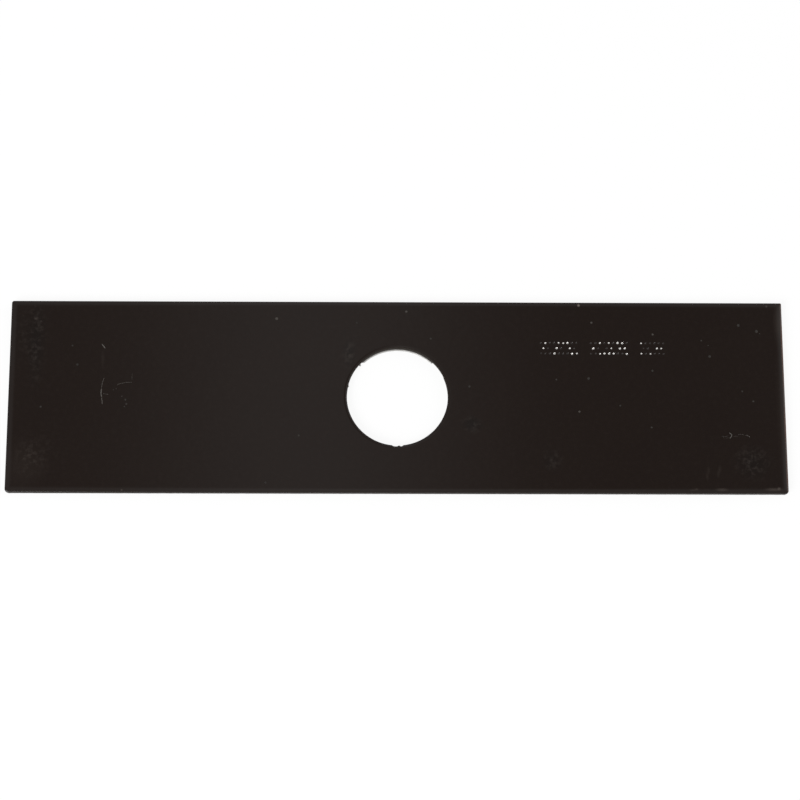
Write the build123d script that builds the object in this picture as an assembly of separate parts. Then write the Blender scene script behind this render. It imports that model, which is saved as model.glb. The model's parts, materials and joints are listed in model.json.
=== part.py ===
from build123d import *
import math
import os

# Flat edger blade: one steel strip, sheared to size, with a hole punched through its middle for the drive
# pilot. Millimetres. X runs along the strip, Y across it and Z up through it. The origin is the hole's
# centre on the lower face, the one that the blade rests on.

# The strip
length = 196.85
width = 50.0
thickness = 2.4

# The drive pilot that the hole slides over, and the slack on its diameter
pilot_diameter = 25.4
pilot_slack = 0.2

# The four corners, seen from above with the far edge at +Y
far_left_corner = 0.6
far_right_corner = 0.35
near_right_corner = 0.7
near_left_corner = 0.75

# The sheared outer edges: the upper face rolls over, a straight burnished land follows, and the torn zone
# below it leans inwards down to the lower face
edge_roll_width = 1.6
edge_roll_depth = 0.25
edge_land = 0.9
edge_tear_lean = 0.13

# The punched hole has the same three zones, and its torn zone flares outwards
hole_roll_width = 0.8
hole_roll_depth = 0.2
hole_land = 1.2
hole_tear_flare = 0.12

# Two places where the tear broke out further and higher up, in degrees round the hole from +X
breakout_land = 0.5
left_breakout_start = 134
left_breakout_sweep = 31
left_breakout_flare = 0.3
right_breakout_start = 24
right_breakout_sweep = 23
right_breakout_flare = 0.25

# The burr between them, on the far side of the hole's lower rim
burr_start = 49
burr_sweep = 83
burr_reach = 0.18
burr_height = 0.3

# Two nicks in the near side of the upper rim, their middles given along X
wide_nick_middle = -0.5
wide_nick_width = 1.6
narrow_nick_middle = 1.0
narrow_nick_width = 0.85
nick_depth = 0.24
nick_height = 1.2

# How far a cutting shape runs past what it cuts
overrun = 1.0

# Worked out from the sizes above
hole_radius = (pilot_diameter + pilot_slack) / 2
edge_land_top = thickness - edge_roll_depth
edge_land_foot = edge_land_top - edge_land
hole_land_top = thickness - hole_roll_depth
hole_land_foot = hole_land_top - hole_land
breakout_foot = hole_land_top - breakout_land


def upright(section):
    """Stand a flat section up, so that its Y runs along Z."""
    return Rot(90, 0, 0) * section


def edge_section(span):
    """The section that shearing both edges leaves across a strip of the given span."""
    half = span / 2
    with BuildSketch() as section:
        with BuildLine():
            Polyline(
                (0, thickness),
                (0, 0),
                (half - edge_tear_lean, 0),
                (half, edge_land_foot),
                (half, edge_land_top),
            )
            EllipticalCenterArc(
                (half - edge_roll_width, edge_land_top),
                edge_roll_width,
                edge_roll_depth,
                start_angle=0,
                arc_size=90,
            )
            Line((half - edge_roll_width, thickness), (0, thickness))
        make_face()
        mirror(about=Plane.YZ)
    return section.sketch


def sheared_strip(span, run):
    """A strip sheared along both edges, which spans X and runs a little past its length along Y."""
    reach = run + 2 * overrun
    return Pos(0, reach / 2, 0) * extrude(upright(edge_section(span)), reach)


def corner_cut(x_side, y_side, radius):
    """What rounds one corner of the strip, from a square with the corner's circle left out."""
    with BuildSketch() as section:
        with Locations((x_side * (length / 2 - radius), y_side * (width / 2 - radius))):
            Rectangle(
                radius + overrun,
                radius + overrun,
                align=(
                    Align.MIN if x_side > 0 else Align.MAX,
                    Align.MIN if y_side > 0 else Align.MAX,
                ),
            )
            Circle(radius, mode=Mode.SUBTRACT)
    return Pos(0, 0, -overrun) * extrude(section.sketch, thickness + 2 * overrun)


def sheared_blank():
    """The strip sheared to width and cropped to length, before its hole is punched."""
    cropped = sheared_strip(length, width)
    slit = Rot(0, 0, 90) * sheared_strip(width, length)
    return (
        (cropped & slit)
        - corner_cut(-1, 1, far_left_corner)
        - corner_cut(1, 1, far_right_corner)
        - corner_cut(1, -1, near_right_corner)
        - corner_cut(-1, -1, near_left_corner)
    )


def punched_hole():
    """The hole's straight wall with the roll-over at its mouth."""
    mouth = hole_radius + hole_roll_width
    with BuildSketch() as section:
        with BuildLine():
            EllipticalCenterArc(
                (mouth, hole_land_top),
                hole_roll_width,
                hole_roll_depth,
                start_angle=90,
                arc_size=90,
            )
            Polyline(
                (hole_radius, hole_land_top),
                (hole_radius, -overrun),
                (0, -overrun),
                (0, thickness + overrun),
                (mouth, thickness + overrun),
                (mouth, thickness),
            )
        make_face()
    return revolve(upright(section.sketch), Axis.Z)


def torn_zone(start, sweep, foot, flare):
    """The flared tear under the straight wall, over part of the way round."""
    with BuildSketch() as section:
        with BuildLine():
            Polyline(
                (hole_radius - overrun, foot),
                (hole_radius, foot),
                (hole_radius + flare, 0),
                (hole_radius + flare, -overrun),
                (hole_radius - overrun, -overrun),
                close=True,
            )
        make_face()
    return revolve(Rot(0, 0, start) * upright(section.sketch), Axis.Z, sweep)


def burr():
    """The thin lip that the tear left hanging inwards at the lower rim, with its root in the strip."""
    root = hole_radius + hole_tear_flare + burr_reach
    with BuildSketch() as section:
        with BuildLine():
            Polyline(
                (hole_radius - burr_reach, 0),
                (hole_radius + hole_tear_flare, burr_height),
                (root, burr_height),
                (root, 0),
                close=True,
            )
        make_face()
    return revolve(Rot(0, 0, burr_start) * upright(section.sketch), Axis.Z, burr_sweep)


def nick(middle, chord):
    """A shallow round-bottomed score down the near side of the hole's mouth."""
    radius = (chord**2 / 4 + nick_depth**2) / (2 * nick_depth)
    turn = math.degrees(math.asin(middle / hole_radius))
    post = Cylinder(radius, nick_height + overrun, align=(Align.CENTER, Align.CENTER, Align.MIN))
    place = Pos(0, radius - nick_depth - hole_radius, thickness - nick_height)
    return Rot(0, 0, turn) * place * post


def blade():
    """The finished blade, one solid."""
    return (
        sheared_blank()
        - punched_hole()
        - torn_zone(0, 360, hole_land_foot, hole_tear_flare)
        - torn_zone(left_breakout_start, left_breakout_sweep, breakout_foot, left_breakout_flare)
        - torn_zone(right_breakout_start, right_breakout_sweep, breakout_foot, right_breakout_flare)
        - nick(wide_nick_middle, wide_nick_width)
        - nick(narrow_nick_middle, narrow_nick_width)
        + burr()
    )


os.makedirs("parts", exist_ok=True)
export_step(blade(), "parts/blade.step")
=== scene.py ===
import json
import math
import random

import bpy
from mathutils import Matrix, Vector, noise
from mathutils.geometry import delaunay_2d_cdt


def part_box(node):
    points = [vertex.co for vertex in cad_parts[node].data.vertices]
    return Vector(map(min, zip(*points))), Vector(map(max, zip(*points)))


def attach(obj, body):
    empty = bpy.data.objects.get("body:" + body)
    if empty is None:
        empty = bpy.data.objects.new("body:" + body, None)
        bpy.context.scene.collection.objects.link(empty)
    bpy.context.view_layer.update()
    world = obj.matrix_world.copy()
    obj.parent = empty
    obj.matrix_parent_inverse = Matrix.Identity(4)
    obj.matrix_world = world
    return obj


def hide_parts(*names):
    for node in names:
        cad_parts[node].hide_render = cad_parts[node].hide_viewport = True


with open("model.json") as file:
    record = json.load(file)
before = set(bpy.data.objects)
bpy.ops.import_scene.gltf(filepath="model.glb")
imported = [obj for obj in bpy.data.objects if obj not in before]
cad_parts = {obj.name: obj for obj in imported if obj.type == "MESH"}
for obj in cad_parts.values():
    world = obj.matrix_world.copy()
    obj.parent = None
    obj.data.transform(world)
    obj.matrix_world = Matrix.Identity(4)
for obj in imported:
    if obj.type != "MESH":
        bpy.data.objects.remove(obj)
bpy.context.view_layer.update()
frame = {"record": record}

# The strip. One bar of flat carbon steel, sheared to width and cropped to length, so that its four edges
# carry the marks of the shear: a rolled-over upper rim, a straight burnished land and a torn zone that
# leans inwards under it.

_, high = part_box("blade")
half_length = high.x
half_width = high.y
thickness = high.z
# the flat face lies this far below the box's top, which the raised specks reach
face_drop = 0.00002
face_level = thickness - face_drop

# near right, far right, far left and near left, counterclockwise as seen from above
corner_radii = (0.0007, 0.00035, 0.0006, 0.00075)
# what each corner's radius shrinks to across the rolled rim
inner_corner_radius = 0.0003

edge_roll_width = 0.0016
edge_roll_depth = 0.00025
edge_land = 0.0009
edge_tear_lean = 0.00013
lower_break = 0.00006
# the flat ring between a rim and the filled face
flat_margin = 0.00012

# how deep the steel's own roughness goes on the land and in the torn zone, and the share of the torn zone's
# height over which it sets in
land_roughness = 0.000004
tear_roughness = 0.00004
tear_onset = 1 / 3
# how finely torn steel is streaked and cragged across and down, and how much each counts
streak_fineness = (2600, 500)
crag_fineness = (900, 1400)
streak_share = 0.45
crag_share = 0.35

point_spacing = 0.0003
corner_steps = 8
roll_steps = 8
land_steps = 3
tear_steps = 6

# the blade's finishes, in the order of its material slots
FACE, SHEARED, WALL, PEENED, SCUFFED, FAINT_GRIT, GRIT, PALE_GRIT = range(8)

points = []
faces = []
finishes = []


def add_ring(ring):
    """Keep a closed ring of points and give back their numbers."""
    first = len(points)
    points.extend(ring)
    return list(range(first, len(points)))


def add_face(corners, finish):
    faces.append(tuple(corners))
    finishes.append(finish)


def join_rings(first, second, finish):
    """A band of four-sided faces between two rings of the same count. It faces outwards where the second
    ring lies under the first, and upwards where the second lies round the first."""
    count = len(first)
    for i in range(count):
        j = (i + 1) % count
        add_face((first[i], second[i], second[j], first[j]), finish)


def noise_at(point, across, down):
    """Smooth noise from -1 to 1, with one fineness across and another down."""
    return noise.noise(Vector((point.x * across, point.y * across, point.z * down)))


def torn_relief(point):
    """Steep ragged streaks, from 0 to 1, as torn steel has."""
    streak = noise_at(point, *streak_fineness)
    crag = noise_at(point, *crag_fineness)
    return min(1.0, max(0.0, 0.5 + streak_share * streak + crag_share * crag))


def edge_ring(inset, height, roughness=0.0):
    """The strip's outline, drawn in by inset, at one height, with torn steel roughened further inwards."""
    corners = []
    for number, radius in enumerate(corner_radii):
        share = min(1.0, inset / edge_roll_width)
        bend = radius + (max(radius - edge_roll_width, inner_corner_radius) - radius) * share
        x = (1, 1, -1, -1)[number] * (half_length - inset - bend)
        y = (-1, 1, 1, -1)[number] * (half_width - inset - bend)
        centre = Vector((x, y, height))
        arc = []
        for step in range(corner_steps + 1):
            angle = math.radians(90 * (number - 1 + step / corner_steps))
            outward = Vector((math.cos(angle), math.sin(angle), 0))
            arc.append((centre + outward * bend, outward))
        corners.append(arc)
    ring = []
    for number, arc in enumerate(corners):
        ring.extend(arc)
        start, outward = arc[-1]
        end = corners[(number + 1) % 4][0][0]
        side = (half_width, half_length)[number % 2] * 2
        steps = round(side / point_spacing)
        for step in range(1, steps):
            ring.append((start.lerp(end, step / steps), outward))
    return [point - outward * roughness * torn_relief(point) for point, outward in ring]


def roll_profile(width, depth):
    """How far in from the wall, and how far down from the face, the rolled rim lies, from the face out."""
    profile = []
    for step in range(roll_steps + 1):
        angle = math.pi / 2 * (1 - step / roll_steps)
        profile.append((width * (1 - math.cos(angle)), depth * (1 - math.sin(angle))))
    return profile


upper_loops = []
lower_loops = []

ring = add_ring(edge_ring(edge_roll_width + flat_margin, face_level))
upper_loops.append(ring)
for inset, drop in roll_profile(edge_roll_width, edge_roll_depth):
    below = add_ring(edge_ring(inset, face_level - drop))
    join_rings(ring, below, FACE)
    ring = below

land_top = face_level - edge_roll_depth
land_foot = land_top - edge_land
for step in range(1, land_steps + 1):
    height = land_top - edge_land * step / land_steps
    below = add_ring(edge_ring(0.0, height, land_roughness))
    join_rings(ring, below, SHEARED)
    ring = below

for step in range(1, tear_steps + 1):
    share = step / tear_steps
    height = land_foot + (lower_break - land_foot) * share
    roughness = tear_roughness * min(1.0, share / tear_onset)
    below = add_ring(edge_ring(edge_tear_lean * share, height, roughness))
    join_rings(ring, below, SHEARED)
    ring = below

foot_inset = edge_tear_lean + lower_break
foot = add_ring(edge_ring(foot_inset, 0.0, tear_roughness))
join_rings(ring, foot, SHEARED)
lower_rim = add_ring(edge_ring(foot_inset + flat_margin, 0.0))
join_rings(foot, lower_rim, FACE)
lower_loops.append(lower_rim)

# The hole. Punched through the middle of the strip for the drive pilot, from the same side, so that its rim
# rolls in, its wall is straight above and torn wider below. A thin burr hangs on the far side of the lower
# rim between two places that broke out, and the near rim has two small nicks.

bore = next(mount for mount in frame["record"]["mounts"] if mount["name"] == "bore")
hole_radius = bore["dims"]["r_mm"] / 1000

hole_roll_width = 0.0008
hole_roll_depth = 0.0002
hole_land = 0.0012
hole_tear_flare = 0.00012
hole_tear_roughness = 0.00003
hole_tear_onset = 1 / 4
# the ring of the lower face round the hole's foot
hole_foot_width = 0.0008

# start and end of each broken-out place in degrees round the hole from the right, and the flare there
breakouts = ((134, 165, 0.0003), (24, 47, 0.00025))
breakout_land = 0.0005
burr_start, burr_end = 49, 132
burr_reach = 0.00018
burr_height = 0.0003
burr_raggedness = 0.12

# the middle of each spur in degrees and how far it reaches in, and half its width in degrees
spurs = ((165.5, 0.0002), (137.5, 0.00028), (47.5, 0.00022))
spur_half_width = 1.2

# middle and width of each nick along X
nicks = ((-0.0005, 0.0016), (0.001, 0.00085))
nick_depth = 0.00024
nick_height = 0.0012

# how uneven the straight wall is, and how fast it and the burr vary per degree round and per metre down
wall_unevenness = 0.000003
wall_waves_round = 1.9
wall_waves_down = 300
burr_waves_round = 0.35
# which slice of the noise each follows
wall_slice = 5.0
burr_slice = 2.0

hole_steps = 480
wall_steps = 18


def nick_at(angle):
    """How deep the near rim is nicked at this angle."""
    if math.sin(angle) > 0:
        return 0.0
    x = hole_radius * math.cos(angle)
    depth = 0.0
    for middle, width in nicks:
        across = abs(x - middle) / (width / 2)
        if across < 1:
            depth = max(depth, nick_depth * (1 - across**4))
    return depth


def wall_shift(angle, height):
    """How far the hole's wall stands outside its true radius at one angle and height."""
    degrees = math.degrees(angle)
    place = Vector((math.cos(angle), math.sin(angle), 0)) * hole_radius
    place.z = height
    land = hole_land
    flare = hole_tear_flare
    for start, end, wider in breakouts:
        if start <= degrees <= end:
            land = breakout_land
            flare = wider
    foot = face_level - hole_roll_depth - land
    wave = noise.noise(Vector((degrees * wall_waves_round, height * wall_waves_down, wall_slice)))
    shift = wall_unevenness * wave
    if height > thickness - nick_height:
        shift += nick_at(angle)
    if height >= foot:
        return shift
    share = (foot - height) / foot
    shift += flare * share - hole_tear_roughness * torn_relief(place) * min(1.0, share / hole_tear_onset)
    if burr_start <= degrees <= burr_end and height < burr_height:
        hang = 1 - height / burr_height
        wave = noise.noise(Vector((degrees * burr_waves_round, 0.0, burr_slice)))
        shift -= (burr_reach + flare * share) * hang * (1 + burr_raggedness * wave)
    for middle, reach in spurs:
        near = 1 - abs(degrees - middle) / spur_half_width
        if near > 0 and height < burr_height:
            shift = min(shift, -reach * near * (1 - height / burr_height))
    return shift


def hole_ring(outset, height, worked=True):
    """A ring round the hole, outset from its wall, with the wall's nicks, tears and burr if it is worked."""
    ring = []
    for step in range(hole_steps):
        angle = math.tau * step / hole_steps
        radius = hole_radius + outset + (wall_shift(angle, height) if worked else 0.0)
        ring.append(Vector((radius * math.cos(angle), radius * math.sin(angle), height)))
    return ring


ring = add_ring(hole_ring(hole_roll_width + flat_margin, face_level, worked=False))
upper_loops.append(ring)
for outset, drop in roll_profile(hole_roll_width, hole_roll_depth):
    share = 1 - outset / hole_roll_width
    plain_ring = hole_ring(outset, face_level - drop, worked=False)
    nicked_ring = hole_ring(outset, face_level - drop)
    below = add_ring([plain.lerp(nicked, share) for plain, nicked in zip(plain_ring, nicked_ring)])
    # the steep half of the roll is dull
    join_rings(below, ring, FACE if drop < hole_roll_depth / 2 else SHEARED)
    ring = below

wall_top = face_level - hole_roll_depth
for step in range(1, wall_steps + 1):
    below = add_ring(hole_ring(0.0, wall_top * (1 - step / wall_steps)))
    join_rings(below, ring, WALL)
    ring = below
lower_rim = add_ring(hole_ring(hole_foot_width, 0.0, worked=False))
join_rings(lower_rim, ring, FACE)
lower_loops.append(lower_rim)

# The peened dots. A stylus pecked small round dents into the steel near the far edge, right of the hole, in
# three groups of plain staggered rows. Some are bare bright steel and the rest still hold their paint.

# left end of each group, how many cells it has, and the share of its dents that are bare
peened_groups = ((0.0366, 3, 0.42), (0.0494, 3, 0.55), (0.0622, 2, 0.30))
peened_middle = 0.01275
# how many dents each row of a cell has, from the far row
cell_rows = (3, 2, 3)
cell_pitch = 0.0034
dent_pitch_x = 0.00115
dent_pitch_y = 0.0014

dent_radius = 0.00022
dent_depth = 0.00009
# how far a dent strays from its place, and how its radius and depth vary
dent_stray = 0.00005
dent_radius_shares = (0.78, 1.12)
dent_depth_shares = (0.7, 1.2)
unevenness = random.Random(47)

# radius and height of each ring round a dent, as shares of its own radius and depth
dent_profile = (
    (1.6, 0.0),
    (1.4, 0.02),
    (1.2, 0.12),
    (1.05, 0.05),
    (0.9, -0.3),
    (0.7, -0.62),
    (0.45, -0.86),
    (0.2, -0.98),
)
# outside this share of its radius, the crest of its lip, a bare dent still holds its paint
lip_crest = 1.2
dent_segments = 18


def level_circle(x, y, height, radius, segments):
    """Points round a level circle, counterclockwise from its right."""
    circle = []
    for step in range(segments):
        angle = math.tau * step / segments
        circle.append(Vector((x + radius * math.cos(angle), y + radius * math.sin(angle), height)))
    return circle


def close_ring(ring, middle, finish):
    """Close a ring with three-sided faces that meet at one point in its middle and face up."""
    tip = add_ring([middle])[0]
    for i, corner in enumerate(ring):
        add_face((corner, ring[(i + 1) % len(ring)], tip), finish)


def press_dent(x, y, radius, depth, finish):
    """A round dent with a raised lip. Its outermost ring becomes a loop that the face is filled round."""
    ring = None
    for share, rise in dent_profile:
        inner = add_ring(level_circle(x, y, face_level + depth * rise, radius * share, dent_segments))
        if ring:
            join_rings(inner, ring, finish if share < lip_crest else FACE)
        else:
            upper_loops.append(inner)
        ring = inner
    close_ring(ring, Vector((x, y, face_level - depth)), finish)


for left, cells, bare_share in peened_groups:
    for cell in range(cells):
        for row, count in enumerate(cell_rows):
            for column in range(count):
                indent = (max(cell_rows) - count) / 2
                x = left + cell * cell_pitch + (column + indent) * dent_pitch_x
                y = peened_middle + (1 - row) * dent_pitch_y
                press_dent(
                    x + unevenness.uniform(-1, 1) * dent_stray,
                    y + unevenness.uniform(-1, 1) * dent_stray,
                    dent_radius * unevenness.uniform(*dent_radius_shares),
                    dent_depth * unevenness.uniform(*dent_depth_shares),
                    PEENED if unevenness.random() < bare_share else FACE,
                )

# The scratches. Handling has scored the paint in two places: a broken upright score with fine ticks beside
# it near the left end, and a short crooked drag near the right end. They go into the paint, not the steel.

# each score's course in X and Y, its width and its depth
scratches = (
    (((-0.0752, 0.0136), (-0.0742, 0.0123)), 0.00034, 0.00003),
    (((-0.0743, 0.0046), (-0.0747, 0.0034), (-0.0749, 0.0020)), 0.00013, 0.00002),
    (((-0.0749, 0.0018), (-0.0750, 0.0006), (-0.0748, -0.0004)), 0.00028, 0.00003),
    (((-0.0748, -0.0005), (-0.0747, -0.0014), (-0.0746, -0.0023)), 0.00019, 0.00002),
    (((-0.0745, 0.0004), (-0.0739, 0.0004), (-0.0731, 0.0002)), 0.00006, 0.00001),
    (((-0.0710, 0.0028), (-0.0698, 0.0032), (-0.0685, 0.0034), (-0.0672, 0.0035)), 0.00008, 0.00001),
    (((-0.0672, 0.0040), (-0.0673, 0.0060)), 0.00004, 0.00001),
    (((0.0820, -0.0102), (0.0829, -0.0103), (0.0836, -0.0101)), 0.00006, 0.00001),
    (((0.0823, -0.0106), (0.0830, -0.0107), (0.0838, -0.0106)), 0.00004, 0.00001),
    (((0.0839, -0.0093), (0.0844, -0.0097), (0.0845, -0.0102), (0.0840, -0.0108)), 0.00026, 0.00003),
    (((0.0850, -0.0104), (0.0855, -0.0102), (0.0860, -0.0103)), 0.00005, 0.00001),
    (((0.0861, -0.0099), (0.0868, -0.0097), (0.0877, -0.0099)), 0.00006, 0.00001),
    (((0.0880, -0.0099), (0.0886, -0.0101), (0.0892, -0.0105)), 0.00012, 0.00002),
)
course_steps = 5
# how much of a score's width varies along it, how fast, and which slice of the noise it follows
score_raggedness = 0.25
score_fineness = 2500
score_slice = 3.0


def smooth_course(course):
    """The course with points added along one gentle curve through the given ones."""
    ends = [Vector((x, y)) for x, y in course]
    if len(ends) == 2:
        return [ends[0].lerp(ends[1], step / (course_steps - 1)) for step in range(course_steps)]
    line = []
    for i in range(len(ends) - 1):
        before = ends[max(i - 1, 0)]
        start, end = ends[i], ends[i + 1]
        after = ends[min(i + 2, len(ends) - 1)]
        for step in range(course_steps):
            t = step / course_steps
            line.append(
                0.5
                * (
                    2 * start
                    + (end - before) * t
                    + (2 * before - 5 * start + 4 * end - after) * t**2
                    + (3 * start - before - 3 * end + after) * t**3
                )
            )
    line.append(ends[-1])
    return line


def score_paint(course, width, depth):
    """A shallow groove with a pointed tip at each end."""
    line = smooth_course(course)
    left, right = [], []
    for i in range(1, len(line) - 1):
        along = (line[i + 1] - line[i - 1]).normalized()
        across = Vector((-along.y, along.x))
        wave = noise.noise(Vector((line[i].x * score_fineness, line[i].y * score_fineness, score_slice)))
        swell = width / 2 * (1 - score_raggedness + score_raggedness * wave)
        left.append(line[i] + across * swell)
        right.append(line[i] - across * swell)
    rim = [line[0], *right, line[-1], *reversed(left)]
    loop = add_ring([Vector((p.x, p.y, face_level)) for p in rim])
    bed = add_ring([Vector((p.x, p.y, face_level - depth)) for p in line[1:-1]])
    upper_loops.append(loop)
    count = len(bed)
    right_side = loop[1 : count + 1]
    left_side = list(reversed(loop[count + 2 :]))
    for i in range(count - 1):
        add_face((bed[i], right_side[i], right_side[i + 1], bed[i + 1]), SCUFFED)
        add_face((left_side[i], bed[i], bed[i + 1], left_side[i + 1]), SCUFFED)
    start, end = loop[0], loop[count + 1]
    add_face((start, right_side[0], bed[0]), SCUFFED)
    add_face((start, bed[0], left_side[0]), SCUFFED)
    add_face((end, bed[-1], right_side[-1]), SCUFFED)
    add_face((end, left_side[-1], bed[-1]), SCUFFED)


for course, width, depth in scratches:
    score_paint(course, width, depth)

# The specks. Grains of dust and grit that settled on the paint while it was wet, each a low round bump.
# Most lie on the right half and beside the score near the left end.

# place, radius and finish of each speck
specks = (
    (-0.0308, 0.0204, 0.000235, PALE_GRIT),
    (-0.0249, -0.0103, 0.000180, GRIT),
    (-0.0331, -0.0225, 0.000190, FAINT_GRIT),
    (-0.0104, 0.0194, 0.000150, FAINT_GRIT),
    (-0.0901, -0.0030, 0.000170, GRIT),
    (-0.0826, 0.0131, 0.000150, FAINT_GRIT),
    (-0.0812, 0.0081, 0.000200, FAINT_GRIT),
    (0.0023, 0.0224, 0.000195, PALE_GRIT),
    (0.0496, 0.0196, 0.000175, PALE_GRIT),
    (0.0085, 0.0152, 0.000175, GRIT),
    (0.0183, 0.0026, 0.000180, GRIT),
    (0.0404, 0.0045, 0.000165, GRIT),
    (0.0486, 0.0048, 0.000220, GRIT),
    (0.0461, -0.0039, 0.000180, PALE_GRIT),
    (0.0565, -0.0023, 0.000150, GRIT),
    (0.0643, -0.0080, 0.000175, GRIT),
    (0.0649, 0.0069, 0.000185, GRIT),
    (0.0652, 0.0165, 0.000170, PALE_GRIT),
    (0.0872, 0.0190, 0.000235, GRIT),
    (0.0918, 0.0174, 0.000250, GRIT),
    (0.0926, 0.0168, 0.000100, GRIT),
    (0.0776, 0.0149, 0.000150, GRIT),
    (0.0793, 0.0136, 0.000100, GRIT),
    (0.0796, 0.0107, 0.000225, GRIT),
    (0.0876, 0.0015, 0.000150, FAINT_GRIT),
    (0.0903, -0.0011, 0.000165, GRIT),
    (-0.0688, -0.0011, 0.000160, GRIT),
    (-0.0685, -0.0022, 0.000160, GRIT),
    (-0.0690, -0.0029, 0.000110, GRIT),
    (-0.0697, -0.0002, 0.000110, GRIT),
    (-0.0719, 0.0015, 0.000090, GRIT),
    (-0.0712, 0.0018, 0.000090, GRIT),
)
# radius and height of each ring round a speck, as shares of its own radius and of the height of all
speck_profile = ((1.5, 0.0), (1.0, 0.25), (0.6, 0.8))
speck_height = face_drop
speck_segments = 12


def raise_speck(x, y, radius, finish):
    """A low round bump. Its outermost ring becomes a loop that the face is filled round."""
    ring = None
    for share, rise in speck_profile:
        height = face_level + speck_height * rise
        inner = add_ring(level_circle(x, y, height, radius * share, speck_segments))
        if ring:
            join_rings(inner, ring, finish)
        else:
            upper_loops.append(inner)
        ring = inner
    close_ring(ring, Vector((x, y, face_level + speck_height)), finish)


for x, y, radius, finish in specks:
    raise_speck(x, y, radius, finish)

# The blade's skin. The upper and lower faces are filled between the loops, and the whole is one closed
# mesh, one piece as the real blade is.

# the fill keeps to the inside of its loops, and takes points nearer than this for one
inside_with_holes = 2
nearest_points = 1e-7
sharp_angle = math.radians(35)


def goes_round(loop, place):
    """Whether a loop of points encloses a place, told by how often a line from it crosses the loop."""
    crossings = 0
    for i, number in enumerate(loop):
        a, b = points[loop[i - 1]], points[number]
        if (a.y > place.y) != (b.y > place.y):
            if place.x < a.x + (place.y - a.y) / (b.y - a.y) * (b.x - a.x):
                crossings += 1
    return crossings % 2 == 1


def fill_face(loops, finish, facing_up):
    """Fill the flat face that lies inside the first loop and outside the others."""
    loop_of = {number: i for i, loop in enumerate(loops) for number in loop}
    numbers = [number for loop in loops for number in loop]
    flat = [Vector((points[number].x, points[number].y)) for number in numbers]
    sides = []
    first = 0
    for loop in loops:
        count = len(loop)
        sides.extend((first + i, first + (i + 1) % count) for i in range(count))
        first += count
    filled = delaunay_2d_cdt(flat, sides, [], inside_with_holes, nearest_points)
    _, _, triangles, came_from, _, _ = filled
    for triangle in triangles:
        corners = [numbers[came_from[corner][0]] for corner in triangle]
        a, b, c = (points[corner] for corner in corners)
        around = {loop_of[corner] for corner in corners}
        if len(around) == 1 and 0 not in around and goes_round(loops[around.pop()], (a + b + c) / 3):
            continue
        if ((b - a).cross(c - a).z > 0) != facing_up:
            corners.reverse()
        add_face(corners, finish)


rounded_count = len(faces)
fill_face(upper_loops, FACE, True)
fill_face(lower_loops, FACE, False)

skin = bpy.data.meshes.new("painted_blade")
skin.from_pydata(points, [], faces)
skin.polygons.foreach_set("material_index", finishes)
skin.update()
skin.set_sharp_from_angle(angle=sharp_angle)
# the filled faces are shaded flat, so that nothing beside them bends their light
skin.polygons.foreach_set("use_smooth", [number < rounded_count for number in range(len(faces))])
blade = bpy.data.objects.new("painted_blade", skin)
bpy.context.scene.collection.objects.link(blade)
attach(blade, "root")
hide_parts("blade")

# The paint. The whole blade was dipped or sprayed after punching in gloss brown-black enamel. It lies
# smooth on the faces, thin and rough over the torn edges, and mottled with pale dust by the two ends and
# in three spots nearer the hole. Painted shade darkens most of the mottled places, and highlights along the
# rims and a reflection at the near left corner are painted pale.


def add_node(tree, kind, **values):
    """Add a shader node. Values named as its inputs go into them, and the others are its settings."""
    made = tree.nodes.new(kind)
    for name, value in values.items():
        label = name.replace("_", " ")
        if label in made.inputs:
            made.inputs[label].default_value = value
        else:
            setattr(made, name, value)
    return made


def join(tree, source, target):
    tree.links.new(source, target)


def product_of(tree, first, second):
    made = add_node(tree, "ShaderNodeMath", operation="MULTIPLY")
    join(tree, first, made.inputs[0])
    join(tree, second, made.inputs[1])
    return made.outputs[0]


def sum_of(tree, sockets):
    """One socket that adds up several."""
    total = sockets[0]
    for socket in sockets[1:]:
        added = add_node(tree, "ShaderNodeMath", operation="ADD")
        join(tree, total, added.inputs[0])
        join(tree, socket, added.inputs[1])
        total = added.outputs[0]
    return total


def surface_noise(tree, scale=1.0, detail=2.0, stretch=1.0):
    """A noise texture over the surface. A stretch under 1 draws it out upwards into streaks."""
    place = add_node(tree, "ShaderNodeTexCoord").outputs["Object"]
    if stretch != 1.0:
        drawn_out = add_node(tree, "ShaderNodeMapping", Scale=(1.0, 1.0, stretch))
        join(tree, place, drawn_out.inputs["Vector"])
        place = drawn_out.outputs["Vector"]
    texture = add_node(tree, "ShaderNodeTexNoise", Scale=scale, Detail=detail)
    join(tree, place, texture.inputs["Vector"])
    return texture


def fade_between(tree, value, start, end, low=0.0, high=1.0, smooth=True):
    """How far a value has come from start to end, as a level from low to high."""
    fade = add_node(tree, "ShaderNodeMapRange", From_Min=start, From_Max=end, To_Min=low, To_Max=high)
    if smooth:
        fade.interpolation_type = "SMOOTHSTEP"
    join(tree, value, fade.inputs["Value"])
    return fade.outputs["Result"]


def cover_colour(tree, under, over, share):
    """A colour, or a node's output, covered by another colour where the share is high."""
    mixed = add_node(tree, "ShaderNodeMix", data_type="RGBA")
    if isinstance(under, tuple):
        mixed.inputs["A"].default_value = under
    else:
        join(tree, under, mixed.inputs["A"])
    mixed.inputs["B"].default_value = over
    join(tree, share, mixed.inputs["Factor"])
    return mixed.outputs["Result"]


def start_group(name, inputs, outputs):
    """A shader node group with named inputs and outputs."""
    group = bpy.data.node_groups.new(name, "ShaderNodeTree")
    for label, kind, value in inputs:
        socket = group.interface.new_socket(label, in_out="INPUT", socket_type=kind)
        socket.default_value = value
    for label, kind in outputs:
        group.interface.new_socket(label, in_out="OUTPUT", socket_type=kind)
    return group, group.nodes.new("NodeGroupInput"), group.nodes.new("NodeGroupOutput")


def place_group(tree, group, **values):
    made = tree.nodes.new("ShaderNodeGroup")
    made.node_tree = group
    for name, value in values.items():
        made.inputs[name.replace("_", " ")].default_value = value
    return made


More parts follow.
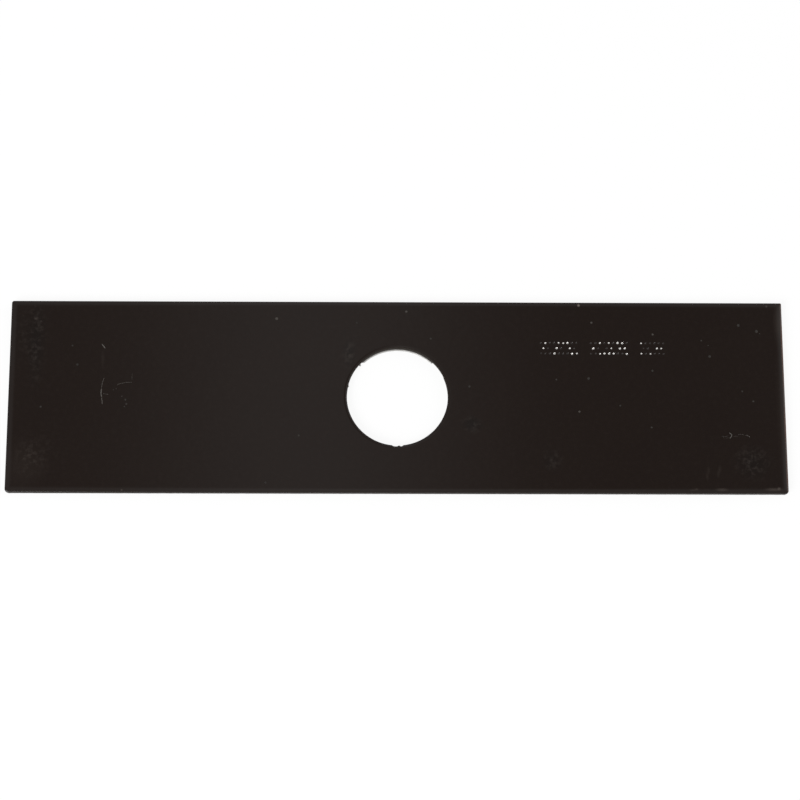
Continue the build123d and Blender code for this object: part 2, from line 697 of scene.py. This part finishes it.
def start_material(name):
    material = bpy.data.materials.new(name)
    material.use_nodes = True
    shader = material.node_tree.nodes["Principled BSDF"]
    return material, material.node_tree, shader


def surface_bump(tree, shader, height, strength, distance):
    bump = add_node(tree, "ShaderNodeBump", Strength=strength, Distance=distance)
    join(tree, height, bump.inputs["Height"])
    join(tree, bump.outputs["Normal"], shader.inputs["Normal"])


def soft_patch_group():
    """A soft oval: its share in its middle and 0 outside, at a place and half size in metres."""
    group, given, result = start_group(
        "soft_patch",
        [
            ("Place", "NodeSocketVector", (0, 0, 0)),
            ("Half Size", "NodeSocketVector", (0.01, 0.01, 1.0)),
            ("Share", "NodeSocketFloat", 1.0),
        ],
        [("Mask", "NodeSocketFloat")],
    )
    where = add_node(group, "ShaderNodeTexCoord")
    away = add_node(group, "ShaderNodeVectorMath", operation="SUBTRACT")
    shares = add_node(group, "ShaderNodeVectorMath", operation="DIVIDE")
    reach = add_node(group, "ShaderNodeVectorMath", operation="LENGTH")
    join(group, where.outputs["Object"], away.inputs[0])
    join(group, given.outputs["Place"], away.inputs[1])
    join(group, away.outputs[0], shares.inputs[0])
    join(group, given.outputs["Half Size"], shares.inputs[1])
    join(group, shares.outputs[0], reach.inputs[0])
    oval = fade_between(group, reach.outputs["Value"], 1.0, 0.0)
    join(group, product_of(group, oval, given.outputs["Share"]), result.inputs["Mask"])
    return group


# the level of the noise at which a grain of dust begins, and at which it is whole
grain_begins = 0.42
grain_whole = 0.78


def dust_group():
    """Pale dust in fine uneven grains: a mask of how much of the paint it hides."""
    group, given, result = start_group(
        "dust_grains",
        [("Amount", "NodeSocketFloat", 0.5), ("Scale", "NodeSocketFloat", 2500.0)],
        [("Mask", "NodeSocketFloat")],
    )
    noise_grains = surface_noise(group, detail=1.5)
    join(group, given.outputs["Scale"], noise_grains.inputs["Scale"])
    grains = fade_between(group, noise_grains.outputs["Fac"], grain_begins, grain_whole)
    join(group, product_of(group, grains, given.outputs["Amount"]), result.inputs["Mask"])
    return group


def paint_surface_group():
    """The height of the paint's own surface: long low orange peel with a finer grain on it."""
    group, given, result = start_group(
        "paint_surface",
        [("Peel", "NodeSocketFloat", 1.0), ("Grain", "NodeSocketFloat", 0.2)],
        [("Height", "NodeSocketFloat")],
    )
    peel = surface_noise(group, scale=420.0, detail=1.0)
    grain = surface_noise(group, scale=3800.0)
    peel_height = product_of(group, peel.outputs["Fac"], given.outputs["Peel"])
    grain_height = product_of(group, grain.outputs["Fac"], given.outputs["Grain"])
    join(group, sum_of(group, [peel_height, grain_height]), result.inputs["Height"])
    return group


# how far in from the right end the wear reaches, the levels of noise at which it is least and full, and
# how much of it is left where it is least
wear_reach = 0.0006
wear_least = 0.35
wear_full = 0.60
wear_left = 0.35


def end_wear_group():
    """Where the paint has worn thin along the rim of the right end."""
    group, _, result = start_group("end_wear", [], [("Mask", "NodeSocketFloat")])
    where = add_node(group, "ShaderNodeTexCoord")
    split = add_node(group, "ShaderNodeSeparateXYZ")
    join(group, where.outputs["Object"], split.inputs[0])
    rim = fade_between(group, split.outputs["X"], half_length - wear_reach, half_length)
    noise_blotches = surface_noise(group, scale=110.0).outputs["Fac"]
    blotches = fade_between(group, noise_blotches, wear_least, wear_full, low=wear_left, smooth=False)
    join(group, product_of(group, rim, blotches), result.inputs["Mask"])
    return group


soft_patch = soft_patch_group()
dust_grains = dust_group()
paint_surface = paint_surface_group()
end_wear = end_wear_group()


def soft_spot(tree, place, half_size, share):
    """The mask of a soft oval on the upper face."""
    spot = place_group(
        tree, soft_patch, Place=(*place, thickness), Half_Size=(*half_size, 1.0), Share=share
    )
    return spot.outputs["Mask"]


paint_colour = (0.0060, 0.0018, 0.0004, 1)
paint_colour_thin = (0.0074, 0.0029, 0.0011, 1)
# painted shade: the dark colour that the mottled places are darkened towards
painted_shade_colour = (0.0010, 0.0004, 0.0002, 1)
# the pale colour of dust, which also paints highlights along the rims and a reflection at the near left
# corner
dust_and_sheen_colour = (0.156, 0.128, 0.108, 1)
worn_colour = (0.068, 0.018, 0.003, 1)
clean_roughness = 0.10
dusty_roughness = 0.60

# where the paint is mottled: place and half size, how much painted shade darkens it there, and how dusty its
# grains are
mottled_places = (
    ((-0.0917, 0.0128), (0.0030, 0.0165), 0.30, 0.070),
    ((-0.0935, 0.0165), (0.0060, 0.0110), 0.15, 0.045),
    ((-0.0930, -0.0165), (0.0042, 0.0065), 0.0, 0.058),
    ((-0.0900, -0.0150), (0.0085, 0.0090), 0.0, 0.036),
    ((0.0896, -0.0170), (0.0062, 0.0060), 0.35, 0.130),
    ((0.0190, -0.0073), (0.0035, 0.0030), 0.55, 0.120),
    ((0.0390, -0.0165), (0.0035, 0.0045), 0.25, 0.080),
    ((-0.0123, 0.0110), (0.0025, 0.0055), 0.40, 0.110),
)

# where the paint is made pale: place and half size, and how pale. First painted highlights along the near
# rim, then along the far and right rims, a broad painted reflection at the near left corner, an upright
# smear and two flecks near the left end, and two pairs of faint streaks near the right end
rubbed_and_sheen_places = (
    ((-0.0691, -0.0245), (0.0004, 0.0003), 0.25),
    ((0.0752, -0.0240), (0.0007, 0.0004), 0.10),
    ((0.0742, -0.0242), (0.0012, 0.0004), 0.06),
    ((0.0816, -0.0241), (0.0022, 0.0006), 0.15),
    ((0.0946, -0.0240), (0.0030, 0.0006), 0.17),
    ((0.0960, -0.0238), (0.0006, 0.0006), 0.25),
    ((0.0464, 0.0242), (0.0005, 0.0005), 1.00),
    ((0.0946, 0.0241), (0.0004, 0.0004), 0.25),
    ((0.0973, 0.0195), (0.0015, 0.0075), 0.07),
    ((0.0971, -0.0020), (0.0014, 0.0250), 0.02),
    ((-0.0940, -0.0185), (0.0080, 0.0090), 0.024),
    ((-0.0748, 0.0094), (0.0006, 0.0034), 0.03),
    ((-0.0922, 0.0202), (0.0007, 0.0004), 0.11),
    ((-0.0908, 0.0195), (0.0005, 0.0004), 0.10),
    ((0.0784, -0.0191), (0.0006, 0.0015), 0.04),
    ((0.0780, -0.0206), (0.0006, 0.0015), 0.04),
    ((0.0812, -0.0188), (0.0006, 0.0014), 0.04),
    ((0.0808, -0.0200), (0.0006, 0.0014), 0.04),
)


def gloss_paint():
    """The gloss enamel of the faces, with its mottled places darkened by painted shade, its rubbed places,
    painted highlights on its rims, a painted reflection at its near left corner and the worn right rim.
    """
    material, tree, shader = start_material("gloss_paint")
    clouds = surface_noise(tree, scale=60.0)
    # painted shade over the mottled places
    thick = []
    # dust grains and pale places, some of them painted highlights and a painted reflection
    dust = []
    for place, half_size, shade_share, dust_share in mottled_places:
        thick.append(soft_spot(tree, place, half_size, shade_share))
        grains = place_group(tree, dust_grains, Amount=dust_share, Scale=1010.0)
        dust.append(product_of(tree, soft_spot(tree, place, half_size, 1.0), grains.outputs["Mask"]))
    for place, half_size, share in rubbed_and_sheen_places:
        dust.append(soft_spot(tree, place, half_size, share))
    thin_dust = place_group(tree, dust_grains, Amount=0.008, Scale=900.0)
    all_dust_and_sheen = sum_of(tree, [*dust, thin_dust.outputs["Mask"]])
    worn = place_group(tree, end_wear).outputs["Mask"]

    colour = cover_colour(tree, paint_colour, paint_colour_thin, clouds.outputs["Fac"])
    # painted shade darkens the mottled places
    colour = cover_colour(tree, colour, painted_shade_colour, sum_of(tree, thick))
    # dust, painted highlights and a painted reflection, in pale
    colour = cover_colour(tree, colour, dust_and_sheen_colour, all_dust_and_sheen)
    colour = cover_colour(tree, colour, worn_colour, worn)
    join(tree, colour, shader.inputs["Base Color"])

    dulled = sum_of(tree, [all_dust_and_sheen, worn])
    roughness = fade_between(tree, dulled, 0.0, 1.0, clean_roughness, dusty_roughness, smooth=False)
    join(tree, roughness, shader.inputs["Roughness"])
    relief = place_group(tree, paint_surface, Peel=1.0, Grain=0.10)
    surface_bump(tree, shader, relief.outputs["Height"], strength=0.25, distance=0.00002)
    return material


torn_dark = (0.0100, 0.0068, 0.0048, 1)
torn_pale = (0.0260, 0.0200, 0.0155, 1)


def torn_paint():
    """Thin dull paint over the sheared edges and the steep part of the hole's rim, with the land's streaks
    and the tear's grain showing through."""
    material, tree, shader = start_material("torn_edge_paint")
    streaks = surface_noise(tree, scale=5200.0, detail=3.0, stretch=0.15)
    colour = cover_colour(tree, torn_dark, torn_pale, streaks.outputs["Fac"])
    join(tree, colour, shader.inputs["Base Color"])
    shader.inputs["Roughness"].default_value = 0.6
    shader.inputs["Specular IOR Level"].default_value = 0.12
    surface_bump(tree, shader, streaks.outputs["Fac"], strength=0.6, distance=0.00003)
    return material


wall_dark = (0.0080, 0.0045, 0.0025, 1)
wall_pale = (0.0200, 0.0140, 0.0100, 1)
bare_steel = (0.60, 0.59, 0.57, 1)
# the height on the hole's wall below which its steel begins to show
bare_below = 0.0006


def wall_paint():
    """Dull paint on the hole's wall, giving way to bright torn steel and burr towards the lower rim."""
    material, tree, shader = start_material("hole_wall_paint")
    streaks = surface_noise(tree, scale=4200.0, stretch=0.12)
    where = add_node(tree, "ShaderNodeTexCoord")
    split = add_node(tree, "ShaderNodeSeparateXYZ")
    join(tree, where.outputs["Object"], split.inputs[0])
    bare = fade_between(tree, split.outputs["Z"], bare_below, 0.0)
    colour = cover_colour(tree, wall_dark, wall_pale, streaks.outputs["Fac"])
    colour = cover_colour(tree, colour, bare_steel, bare)
    join(tree, colour, shader.inputs["Base Color"])
    join(tree, bare, shader.inputs["Metallic"])
    shader.inputs["Roughness"].default_value = 0.45
    shader.inputs["Specular IOR Level"].default_value = 0.02
    surface_bump(tree, shader, streaks.outputs["Fac"], strength=0.3, distance=0.00002)
    return material


peened_dark = (0.60, 0.58, 0.55, 1)
peened_pale = (0.80, 0.79, 0.77, 1)


def peened_steel():
    """The bright steel that the stylus laid bare."""
    material, tree, shader = start_material("peened_steel")
    grain = surface_noise(tree, scale=6000.0)
    colour = cover_colour(tree, peened_dark, peened_pale, grain.outputs["Fac"])
    join(tree, colour, shader.inputs["Base Color"])
    shader.inputs["Metallic"].default_value = 1.0
    shader.inputs["Roughness"].default_value = 0.28
    surface_bump(tree, shader, grain.outputs["Fac"], strength=0.2, distance=0.00002)
    return material


scuffed_dark = (0.030, 0.026, 0.022, 1)
scuffed_pale = (0.120, 0.110, 0.098, 1)


def scuffed_paint():
    """Paint that a scratch has dragged grey."""
    material, tree, shader = start_material("scuffed_paint")
    drag = surface_noise(tree, scale=4500.0, detail=3.0)
    colour = cover_colour(tree, scuffed_dark, scuffed_pale, drag.outputs["Fac"])
    join(tree, colour, shader.inputs["Base Color"])
    shader.inputs["Roughness"].default_value = 0.5
    surface_bump(tree, shader, drag.outputs["Fac"], strength=0.4, distance=0.00002)
    return material


# darkest and palest colour of the grit, from well covered to bare
grit_colours = (
    ("faint_grit", (0.008, 0.0055, 0.0040, 1), (0.017, 0.0135, 0.0110, 1)),
    ("grit", (0.009, 0.0065, 0.0045, 1), (0.027, 0.023, 0.019, 1)),
    ("pale_grit", (0.024, 0.020, 0.017, 1), (0.066, 0.058, 0.050, 1)),
)


def grit(name, dark, pale):
    """Grains of grit in the paint, paler where they broke through it."""
    material, tree, shader = start_material(name)
    cover = surface_noise(tree, scale=7000.0)
    colour = cover_colour(tree, dark, pale, cover.outputs["Fac"])
    join(tree, colour, shader.inputs["Base Color"])
    shader.inputs["Roughness"].default_value = 0.4
    return material


for make in (gloss_paint, torn_paint, wall_paint, peened_steel, scuffed_paint):
    skin.materials.append(make())
for name, dark, pale in grit_colours:
    skin.materials.append(grit(name, dark, pale))

# The floor and the light. A white table that the blade lies on, a large soft lamp at its near left and a
# weaker one at its right, in a pale room that is brightest at the horizon and dimmer overhead.

# the table lies this far under the blade, so that the two faces stay apart
floor_drop = 0.00002
floor_half = 1.5
# how much of the table is plain white, where the rest takes the blade's shadow
floor_whiteness = 0.90

table = bpy.data.meshes.new("floor")
table.from_pydata(
    [(x * floor_half, y * floor_half, -floor_drop) for x, y in ((-1, -1), (1, -1), (1, 1), (-1, 1))],
    [],
    [(0, 1, 2, 3)],
)
floor = bpy.data.objects.new("floor", table)
bpy.context.scene.collection.objects.link(floor)


def white_floor():
    """White to the camera and in reflections, with a light trace of the shadow. Clear from underneath."""
    material = bpy.data.materials.new("white_floor")
    material.use_nodes = True
    tree = material.node_tree
    tree.nodes.clear()
    lit = add_node(tree, "ShaderNodeBsdfDiffuse", Color=(1, 1, 1, 1))
    white = add_node(tree, "ShaderNodeEmission", Strength=1.0)
    path = add_node(tree, "ShaderNodeLightPath")
    seen = sum_of(tree, [path.outputs["Is Camera Ray"], path.outputs["Is Glossy Ray"]])
    share = add_node(tree, "ShaderNodeMath", operation="MULTIPLY")
    share.inputs[1].default_value = floor_whiteness
    join(tree, seen, share.inputs[0])
    mixed = add_node(tree, "ShaderNodeMixShader")
    join(tree, share.outputs[0], mixed.inputs[0])
    join(tree, lit.outputs[0], mixed.inputs[1])
    join(tree, white.outputs[0], mixed.inputs[2])
    clear = add_node(tree, "ShaderNodeBsdfTransparent")
    side = add_node(tree, "ShaderNodeNewGeometry")
    sided = add_node(tree, "ShaderNodeMixShader")
    join(tree, side.outputs["Backfacing"], sided.inputs[0])
    join(tree, mixed.outputs[0], sided.inputs[1])
    join(tree, clear.outputs[0], sided.inputs[2])
    output = add_node(tree, "ShaderNodeOutputMaterial")
    join(tree, sided.outputs[0], output.inputs["Surface"])
    return material


table.materials.append(white_floor())


def add_lamp(name, place, size, radiance):
    """A square soft lamp that faces the blade."""
    lamp = bpy.data.lights.new(name, "AREA")
    lamp.shape = "SQUARE"
    lamp.size = size
    lamp.energy = radiance * math.pi * size**2
    holder = bpy.data.objects.new(name, lamp)
    holder.location = place
    holder.rotation_euler = (-Vector(place)).to_track_quat("-Z", "Y").to_euler()
    bpy.context.scene.collection.objects.link(holder)


add_lamp("left_lamp", place=(-0.65, -0.75, 0.90), size=0.70, radiance=8.0)
add_lamp("right_lamp", place=(0.95, 0.25, 0.60), size=0.75, radiance=1.1)

# how bright the room is, from the horizon at 0 to straight up at 1
room_levels = ((0.0, 1.0), (0.25, 0.80), (0.5, 0.53), (0.8, 0.43), (1.0, 0.41))
# soft shapes in the room: the dark screen that the flat face mirrors, the pale strip across it and the glow
# to the right. For each, its place, how much each axis counts, its inner and outer radius, and what it adds
# to the room's light
dark_screen = ((0.025, 0.255, 0.967), (1.0, 1.2, 1.0), 0.14, 0.30, -0.20)
pale_strip = ((-0.022, 0.255, 0.967), (1.0, 0.1, 0.0), 0.0, 0.105, 0.24)
right_glow = ((0.75, 0.25, 0.61), (1.0, 1.0, 1.0), 0.0, 0.70, 0.60)


def pale_room():
    """The room as the blade mirrors it. The camera sees plain white instead."""
    world = bpy.data.worlds.new("pale_room")
    bpy.context.scene.world = world
    world.use_nodes = True
    tree = world.node_tree
    tree.nodes.clear()
    where = add_node(tree, "ShaderNodeTexCoord")
    split = add_node(tree, "ShaderNodeSeparateXYZ")
    join(tree, where.outputs["Generated"], split.inputs[0])
    levels = add_node(tree, "ShaderNodeValToRGB")
    while len(levels.color_ramp.elements) < len(room_levels):
        levels.color_ramp.elements.new(0.5)
    for stop, (position, level) in zip(levels.color_ramp.elements, room_levels):
        stop.position = position
        stop.color = (level, level, level, 1)
    join(tree, split.outputs["Z"], levels.inputs["Fac"])

    parts = [levels.outputs["Color"]]
    for place, axis_shares, inner, outer, change in (dark_screen, pale_strip, right_glow):
        shared = add_node(tree, "ShaderNodeVectorMath", operation="MULTIPLY")
        shared.inputs[1].default_value = axis_shares
        away = add_node(tree, "ShaderNodeVectorMath", operation="DISTANCE")
        away.inputs[1].default_value = Vector(place) * Vector(axis_shares)
        join(tree, where.outputs["Generated"], shared.inputs[0])
        join(tree, shared.outputs[0], away.inputs[0])
        parts.append(fade_between(tree, away.outputs["Value"], outer, inner, high=change))

    room = add_node(tree, "ShaderNodeBackground", Color=(1, 1, 1, 1))
    join(tree, sum_of(tree, parts), room.inputs["Strength"])
    backdrop = add_node(tree, "ShaderNodeBackground", Color=(1, 1, 1, 1))
    path = add_node(tree, "ShaderNodeLightPath")
    mixed = add_node(tree, "ShaderNodeMixShader")
    join(tree, path.outputs["Is Camera Ray"], mixed.inputs[0])
    join(tree, room.outputs[0], mixed.inputs[1])
    join(tree, backdrop.outputs[0], mixed.inputs[2])
    output = add_node(tree, "ShaderNodeOutputWorld")
    join(tree, mixed.outputs[0], output.inputs["Surface"])


pale_room()

# The camera. Over the blade and a little towards its near long edge, with a long lens.

camera_distance = 0.6368
camera_pitch = math.radians(14.835)
camera_yaw = math.radians(0.758)
camera_roll = math.radians(-0.159)
camera_aside = -0.000666
camera_above = 0.000966
camera_lens = 113.1
camera_sensor = 36
nearest_seen = 0.01

camera = bpy.data.objects.new("camera", bpy.data.cameras.new("camera"))
camera.data.lens = camera_lens
camera.data.sensor_width = camera_sensor
camera.data.clip_start = nearest_seen
camera.matrix_world = (
    Matrix.Translation((0, 0, thickness))
    @ Matrix.Rotation(camera_pitch, 4, "X")
    @ Matrix.Rotation(-camera_yaw, 4, "Y")
    @ Matrix.Rotation(-camera_roll, 4, "Z")
    @ Matrix.Translation((-camera_aside, -camera_above, camera_distance))
)
bpy.context.scene.collection.objects.link(camera)
bpy.context.scene.camera = camera
bpy.context.scene.view_settings.view_transform = "Standard"
